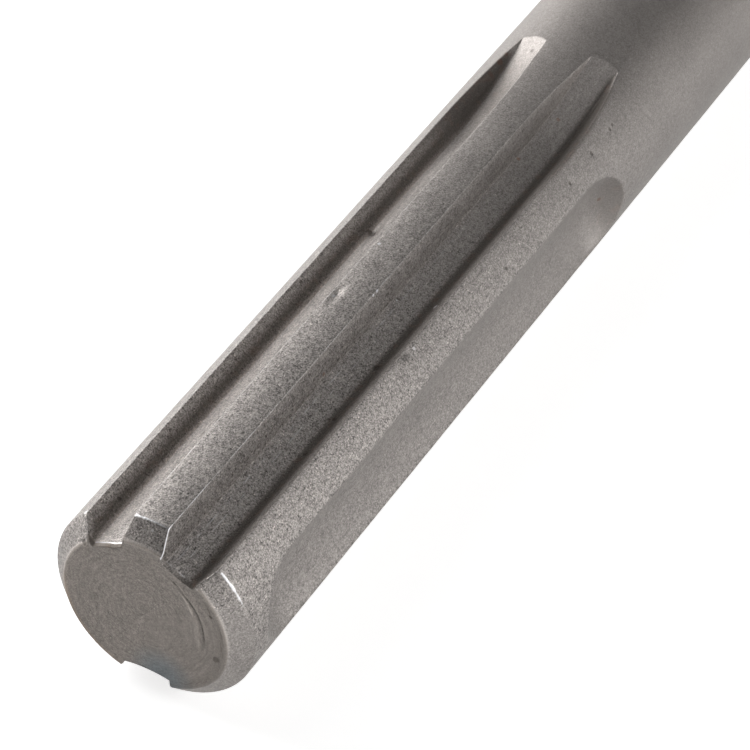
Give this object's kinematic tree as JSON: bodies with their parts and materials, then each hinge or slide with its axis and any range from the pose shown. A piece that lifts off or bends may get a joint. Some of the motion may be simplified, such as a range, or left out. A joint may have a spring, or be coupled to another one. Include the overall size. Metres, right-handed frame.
{
  "type": "pointed chisel",
  "caption": "Steel pointed chisel for a demolition hammer: round bar with a slotted and grooved shank at one end and a four-sided ground point at the other.",
  "frame": {"origin": "centre of the flat striking face, on the bar's axis", "axes": "+X along the axis from the striking face to the point; +Z through the rib between the two upper slots, which is up as the chisel lies"},
  "size_m": [0.28, 0.018, 0.018],
  "materials": {
    "blasted_steel": "shot-blasted and tempered, matt"
  },
  "bodies": {
    "root": {"chisel": "blasted_steel"}
  },
  "joints": []
}
